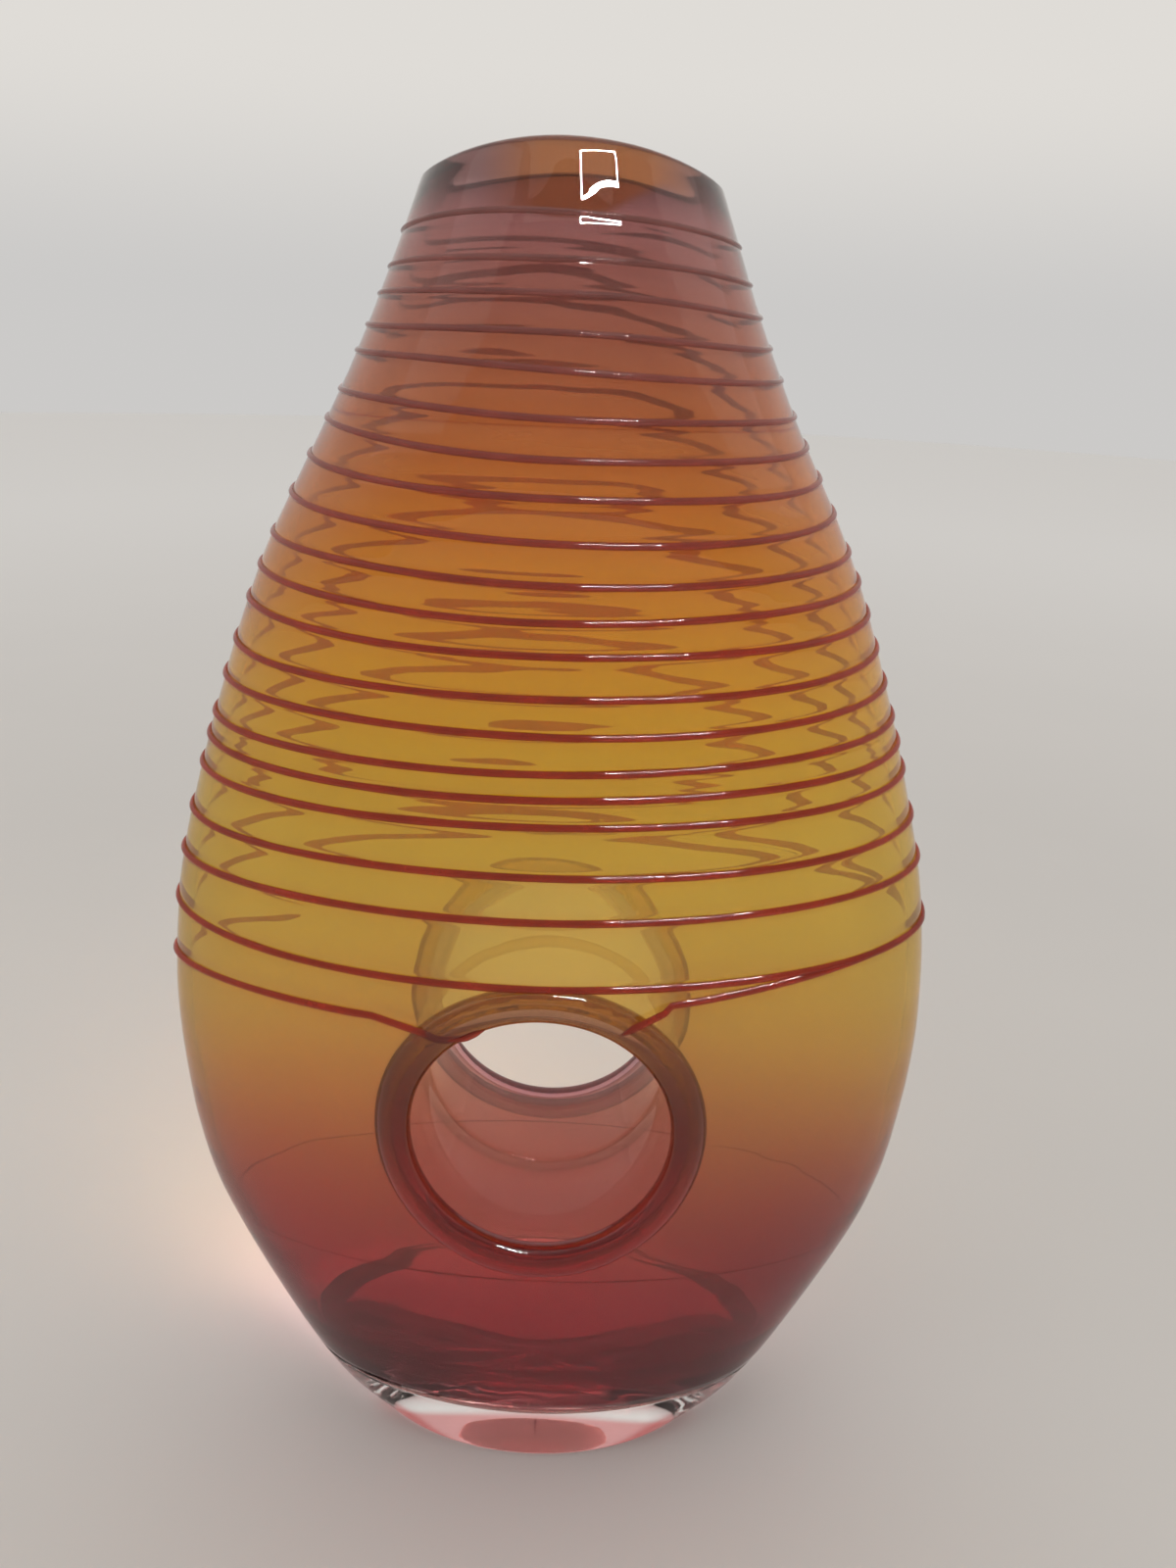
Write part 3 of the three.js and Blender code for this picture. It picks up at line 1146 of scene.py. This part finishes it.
    def build(self) -> None:
        """Builds and dresses every wall."""
        height = self.body.height
        foot_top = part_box("foot_lining")[1][2]
        neck_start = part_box("neck_lining")[0][2] + float(self.body.dip(340 * MM))
        clear = Glass("clear_glass", strength=0.0, tint=(0.99, 0.99, 0.985), filleted=True)
        # Painted reflection: the clear heel is tinted ruby in its middle, where the ruby foot above shows in
        # it; its corners stay clear.
        heel = Glass(
            "heel_glass", strength=0.0, tint=(0.99, 0.985, 0.98), scuffed=True, lens=(0.72, 0.190, 0.195),
        )
        layer = {"ior": 1.0001, "bump": 0.0, "smear": 0.0, "strength": 1.0}
        ruby = Glass("ruby_glass", clearness=0.86, **layer).material(self.shared, height)
        amber = Glass("amber_glass", clearness=0.86, **layer).material(self.shared, height)
        purple = Glass("purple_glass", clearness=0.91, **layer).material(self.shared, height)
        dress(self.casing(), clear.material(self.shared, height), "clear_glass", "clear_casing")
        dress(self.heel(), heel.material(self.shared, height), "clear_glass", "base_pad")
        dress(self.foot_lining(foot_top), ruby, "ruby_glass", "foot_lining")
        amber_layer = self.lining("amber_body_layer", foot_top, neck_start)
        dress(cut_through(amber_layer, self.hole, self.hole.cut_radius), amber, "amber_glass", "body_lining")
        purple_layer = self.lining("purple_neck_layer", neck_start, height - 1.0 * MM)
        dress(purple_layer, purple, "purple_glass", "neck_lining")


class Side(Enum):
    """The two faces of the vase, as the sign of Y."""

    FRONT = -1
    BACK = 1


@dataclass
class Tunnel:
    """The hole's two rolled lips and the two halves of its wall, fused at a seam in the middle."""

    body: BodyShape
    hole: HoleShape
    shared: SharedNodes
    around: int = 192

    def ring(self, name: str, radius: np.ndarray, depth: np.ndarray, side: Side) -> Object:
        """A closed ring round the hole, draped over the body's face.

        Args:
            name: the piece's name.
            radius: the section's distance from the hole's axis.
            depth: the section's distance from the middle plane at the hole's centre.
            side: front or back.

        Returns:
            The piece.
        """
        angle = np.linspace(0, TAU, self.around, endpoint=False)[:, None]
        x = radius * np.cos(angle)
        z = self.hole.height + radius * np.sin(angle) * self.hole.tallness
        share = self.body.face_depth(x, z) / float(self.body.half_depth(self.hole.height))
        y = side.value * depth * share
        return grid_mesh(name, np.stack([x, y, z], axis=-1))

    def lip(self, side: Side) -> Object:
        """The rolled lip on one face.

        Args:
            side: front or back.

        Returns:
            The piece.
        """
        turn = np.linspace(0, TAU, 40, endpoint=False)
        squareness = 0.86
        wide = np.sign(np.cos(turn)) * np.abs(np.cos(turn)) ** squareness
        thick = np.sign(np.sin(turn)) * np.abs(np.sin(turn)) ** squareness
        radius = self.hole.lip_radius + self.hole.lip_half_width * wide
        depth = self.hole.lip_middle + self.hole.lip_half_thickness * thick
        return self.ring(f"{side.name.lower()}_lip", radius, depth, side)

    def wall(self, side: Side) -> Object:
        """Half of the tunnel, with a rounded edge at the seam.

        Args:
            side: front or back.

        Returns:
            The piece.
        """
        hole = self.hole
        mouth = hole.lip_middle - hole.lip_half_thickness * 0.55
        along = np.linspace(0, 1, 22)
        flare = hole.throat_radius + (hole.mouth_radius - hole.throat_radius) * along**2
        seam = 0.5 * MM * np.exp(-((along * mouth / (2.6 * MM)) ** 2))
        inner = flare + seam
        outer = inner[::-1] + hole.wall
        depth_in = along * mouth - 0.05 * MM
        radius = np.concatenate([inner, outer])
        depth = np.concatenate([depth_in, depth_in[::-1]])
        return self.ring(f"tunnel_{side.name.lower()}_half", radius, depth, side)

    def build(self) -> None:
        """Builds and dresses the lips and the tunnel."""
        height = self.body.height
        # The front lip's colour runs with height: ruby low and brown-orange high follow the cased colours,
        # the bright red lower band is painted highlight and the dark bands at the sides are painted shade.
        front_lip_colour_and_painted_light = Glass("lip_glass", strength=0.0, bands=(
            (0.20, (0.86, 0.160, 0.20)),
            (0.27, (0.76, 0.160, 0.18)),
            (0.33, (0.27, 0.075, 0.075)),
            (0.40, (0.26, 0.100, 0.080)),
            (0.46, (0.58, 0.330, 0.220)),
        )).material(self.shared, height)
        back_lip = Glass("back_lip_glass", strength=0.0, bands=(
            (0.20, (0.62, 0.340, 0.400)),
            (0.30, (0.56, 0.400, 0.470)),
            (0.46, (0.84, 0.740, 0.640)),
        )).material(self.shared, height)
        lips = {Side.FRONT: front_lip_colour_and_painted_light, Side.BACK: back_lip}
        wall = Glass("tunnel_glass", strength=0.0, ior=1.001, coat=0.4, clearness=0.9, bands=(
            (0.22, (0.72, 0.510, 0.490)),
            (0.30, (0.83, 0.650, 0.550)),
            (0.36, (0.89, 0.740, 0.610)),
            (0.44, (0.86, 0.780, 0.620)),
        )).material(self.shared, height)
        for side in Side:
            word = side.name.lower()
            dress(self.lip(side), lips[side], "lip_glass", f"{word}_hole_lip")
            dress(self.wall(side), wall, "tunnel_glass", f"tunnel_{word}_wall")


@dataclass
class TrailedThread:
    """The long thread of dark red glass, wound from the back up to the rim."""

    body: BodyShape
    hole: HoleShape
    path: ThreadPath
    shared: SharedNodes
    steps_per_turn: int = 110
    low_radius: float = 1.25 * MM
    high_radius: float = 0.72 * MM

    def laid(self, turns: np.ndarray, levels: np.ndarray, sunk: float = 0.45) -> np.ndarray:
        """Points of the thread's centre line on the body.

        Args:
            turns: turn numbers.
            levels: heights.
            sunk: share of the thread's radius that lies under the surface.

        Returns:
            The points.
        """
        points = []
        for turn, level in zip(turns, levels):
            raised = self.radius_at(level) * (1 - 2 * sunk)
            points.append(self.body.point(math.pi + turn * TAU, level, -raised))
        return np.array(points)

    def radius_at(self, z: float) -> float:
        """The thread's radius at a height: it thins as it is drawn out."""
        share = min(max((z - 0.5 * self.body.height) / (0.45 * self.body.height), 0), 1)
        return self.low_radius + (self.high_radius - self.low_radius) * share

    def thread(
        self, name: str, points: np.ndarray, tips: tuple[float, float], seed: float,
    ) -> Object:
        """A thread along these points.

        Args:
            name: the piece's name.
            points: the centre line.
            tips: length over which each end draws out to a point.
            seed: chooses the unevenness.

        Returns:
            The piece.
        """
        step = np.linalg.norm(np.diff(points, axis=0), axis=1)
        run = np.concatenate([[0], np.cumsum(step)])
        radius = np.array([self.radius_at(p[2]) for p in points])
        for distance, tip in ((run, tips[0]), (run[-1] - run, tips[1])):
            radius = radius * np.clip(0.25 + 0.75 * distance / tip, 0, 1)
        return with_geometry_nodes(chain(points, {"thickness": radius}), self.shared.thread, {
            "Sides": 16, "Roundness": 1.35, "Flatness": 0.75,
            "Unevenness": 0.35, "Unevenness Scale": 45.0, "Seed": seed,
        }, name)

    def over_lip(self, x: np.ndarray, z: np.ndarray, share: float) -> np.ndarray:
        """Points over the front lip.

        Args:
            x: places across.
            z: heights.
            share: how far out they lie, as a share of the lip's half thickness.

        Returns:
            The points.
        """
        hole = self.hole
        crest = (hole.lip_middle + hole.lip_half_thickness * share) / float(self.body.half_depth(hole.height))
        return np.column_stack([x, -self.body.face_depth(x, z) * crest, z])

    def first_stretch(self) -> np.ndarray:
        """From the back round the left side, then over the lip to its inner edge.

        Returns:
            Points of the centre line.
        """
        turns = np.linspace(self.path.low_turn[0][0], self.path.low_turn[-1][0], 34)
        on_body = self.laid(turns, self.path.low_level(turns))
        hole = self.hole
        angles = np.radians(np.linspace(132, 114, 12))
        share = np.linspace(0, 1, len(angles))
        radius = hole.lip_radius - (hole.lip_half_width - 1.3 * MM) * np.clip(share * 2, 0, 1) ** 0.7
        x = radius * np.cos(angles)
        z = hole.height + radius * np.sin(angles) * hole.tallness
        return np.concatenate([on_body, self.over_lip(x, z, 0.75)])

    def main_stretch(self) -> np.ndarray:
        """From the upper right of the hole, up the body to the neck.

        Returns:
            Points of the centre line.
        """
        first, last = self.path.first_turn, self.path.last_turn
        turns = np.linspace(first, last, round(self.steps_per_turn * (last - first)))
        wander = 0.25 * MM * np.sin(turns * 9.1) + 0.2 * MM * np.sin(turns * 23.7 + 1.3)
        on_body = self.laid(turns, self.path.main_level(turns) + wander)
        x, z = np.linspace(22, 34, 9) * MM, np.linspace(176.5, 183.6, 9) * MM
        return np.concatenate([self.over_lip(x, z, 0.9), on_body])

    def build(self) -> None:
        """Builds and dresses the thread."""
        glass = ThreadGlass().material(self.shared, self.body.height)
        first = self.thread("first_thread", self.first_stretch(), (4 * MM, 3 * MM), 2.0)
        main = self.thread("wound_thread", self.main_stretch(), (3 * MM, 14 * MM), 5.0)
        dress(first, glass, "thread_glass", "thread_start")
        dress(main, glass, "thread_glass", "thread_trail")


# ---- the stage --------------------------------------------------------------------------------


@dataclass
class Studio:
    """A pale floor, soft lights and a camera a little below the rim."""

    target: Vector
    camera_place: tuple[float, float, float] = (0.0099, -0.327, 0.364)
    pitch: float = math.radians(21.8)
    roll: float = math.radians(2.4)
    lens: float = 27.05
    wall_light: Colour = (0.74, 0.715, 0.68)
    low_wall_light: Colour = (0.60, 0.59, 0.58)
    room_light: Colour = (0.42, 0.40, 0.38)
    floor_radius: float = 4.0

    def camera(self) -> None:
        """The camera, which looks down on the belly and is turned a little on its own axis."""
        data = bpy.data.cameras.new("camera")
        data.sensor_width, data.lens = 36.0, self.lens
        data.clip_start = 0.01
        forward = Vector((0, math.cos(self.pitch), -math.sin(self.pitch)))
        right = Vector((1, 0, 0))
        up = right.cross(forward)
        turned_right = right * math.cos(self.roll) + up * math.sin(self.roll)
        turned_up = turned_right.cross(forward)
        frame_axes = Matrix((turned_right, turned_up, -forward)).transposed().to_4x4()
        thing = in_scene("camera", data)
        thing.matrix_world = Matrix.Translation(self.camera_place) @ frame_axes
        bpy.context.scene.camera = thing

    def lamp(
        self, name: str, place: tuple[float, float, float], size: tuple[float, float], watts: float,
        aim: Vector | None = None,
    ) -> Object:
        """A rectangular soft light that faces the vase and doesn't show through its glass.

        Args:
            name: its name.
            place: where it hangs.
            size: its width and height.
            watts: its power.
            aim: what it faces, or None for the vase.

        Returns:
            The light.
        """
        data = bpy.data.lights.new(name, "AREA")
        data.shape, data.size, data.size_y = "RECTANGLE", size[0], size[1]
        data.energy = watts
        thing = in_scene(name, data)
        thing.location = place
        thing.rotation_euler = ((aim or self.target) - Vector(place)).to_track_quat("-Z", "Y").to_euler()
        thing.visible_transmission = False
        return thing

    def ring_lamp(
        self, place: Vector, aim: Vector, width: float, height: float, bar: float, radiance: float,
    ) -> None:
        """A soft panel light whose four edges glow.

        Args:
            place: its middle.
            aim: what it faces.
            width: its width.
            height: its height.
            bar: the width of each glowing edge.
            radiance: how bright the edges are.
        """
        turn = (aim - place).to_track_quat("-Z", "Y").to_matrix()
        across, up = turn.col[0], turn.col[1]
        for name, shift, size in (
            ("key_top", up * (height - bar) / 2, (width, bar)),
            ("key_bottom", -up * (height - bar) / 2, (width, bar)),
            ("key_left", -across * (width - bar) / 2, (bar, height - 2 * bar)),
            ("key_right", across * (width - bar) / 2, (bar, height - 2 * bar)),
        ):
            middle = place + shift
            glow = self.lamp(name, tuple(middle), size, radiance * math.pi * size[0] * size[1], aim + shift)
            glow.visible_diffuse = False

    def floor(self) -> None:
        """A wide pale floor of fine cloth, painted paler far from the vase to stand in for light."""
        mesh = bpy.data.meshes.new("floor")
        shape = bmesh.new()
        bmesh.ops.create_circle(shape, cap_ends=True, segments=128, radius=self.floor_radius)
        shape.to_mesh(mesh)
        shape.free()
        thing = in_scene("floor", mesh)
        material = bpy.data.materials.new("floor_cloth")
        material.use_nodes = True
        tree = material.node_tree
        g = Nodes(tree)
        shader = tree.nodes["Principled BSDF"]
        place = g.place()
        near = g.mix(g.noise(place, 3.0, 3.0), (0.72, 0.705, 0.69, 1), (0.79, 0.77, 0.75, 1))
        away = g.add("ShaderNodeVectorMath", {0: place}, operation="LENGTH").outputs["Value"]
        # Painted light: the cloth pales towards white with distance from the vase, so the dimmer far floor
        # matches the bright backdrop.
        cloth_and_painted_light = g.mix(g.remap(away, 0.35, 2.2, smooth=True), near, (0.94, 0.94, 0.94, 1))
        weave = g.noise(place, 700.0, 2.0)
        bump = g.out("ShaderNodeBump", {"Strength": 0.06, "Distance": 0.2 * MM, "Height": weave})
        tree.links.new(cloth_and_painted_light, shader.inputs["Base Color"])
        tree.links.new(bump, shader.inputs["Normal"])
        shader.inputs["Roughness"].default_value = 0.9
        shader.inputs["Specular IOR Level"].default_value = 0.2
        mesh.materials.append(material)
        thing.location.z = -0.3 * MM

    def world(self) -> None:
        """Even pale light from all round, dimmer on the side that the front faces."""
        world = bpy.data.worlds.new("room")
        world.use_nodes = True
        g = Nodes(world.node_tree)
        look = g.add("ShaderNodeTexCoord").outputs["Generated"]
        _, y, z = g.split(look)
        wall = g.mix(g.remap(z, 0.0, 0.17, smooth=True), (*self.low_wall_light, 1), (*self.wall_light, 1))
        shade = g.mix(g.remap(y, 0.1, -0.6, smooth=True), wall, (*self.room_light, 1))
        back = world.node_tree.nodes["Background"]
        world.node_tree.links.new(shade, back.inputs[0])
        back.inputs[1].default_value = 1.0
        world.cycles.sampling_method = "NONE"
        bpy.context.scene.world = world

    def light_paths(self) -> None:
        """Enough bounces for light to cross every wall of glass."""
        scene = bpy.context.scene
        cycles = scene.cycles
        cycles.max_bounces, cycles.transmission_bounces = 40, 40
        cycles.glossy_bounces, cycles.transparent_max_bounces = 16, 64
        cycles.diffuse_bounces = 3
        cycles.caustics_reflective, cycles.caustics_refractive = False, True
        cycles.sample_clamp_indirect = 8.0
        cycles.use_denoising = True
        scene.view_settings.view_transform = "Standard"

    def build(self) -> None:
        """Builds the stage."""
        self.camera()
        self.floor()
        self.world()
        self.light_paths()
        self.ring_lamp(Vector((0.44, -0.92, 1.51)), Vector((0, 0, 0.36)), 0.62, 0.17, 0.018, 310.0)
        self.lamp("left_fill", (-1.5, -0.5, 1.3), (1.2, 1.2), 1.2)
        self.lamp("right_fill", (1.6, 0.2, 1.2), (1.2, 1.2), 1.0)
        self.lamp("top", (0.0, -0.5, 2.2), (2.0, 2.0), 4.0)


def main() -> None:
    """Builds the stage and every piece of the vase, in order."""
    logging.basicConfig(level=logging.INFO, format="%(name)s: %(message)s")
    body = body_from_frame()
    hole = hole_from_frame(body)
    shared = SharedNodes()
    Studio(target=Vector((0, 0, body.height / 2))).build()
    path = ThreadPath()
    BlownWalls(body, hole, path, shared).build()
    Tunnel(body, hole, shared).build()
    TrailedThread(body, hole, path, shared).build()


if __name__ == "__main__":
    main()
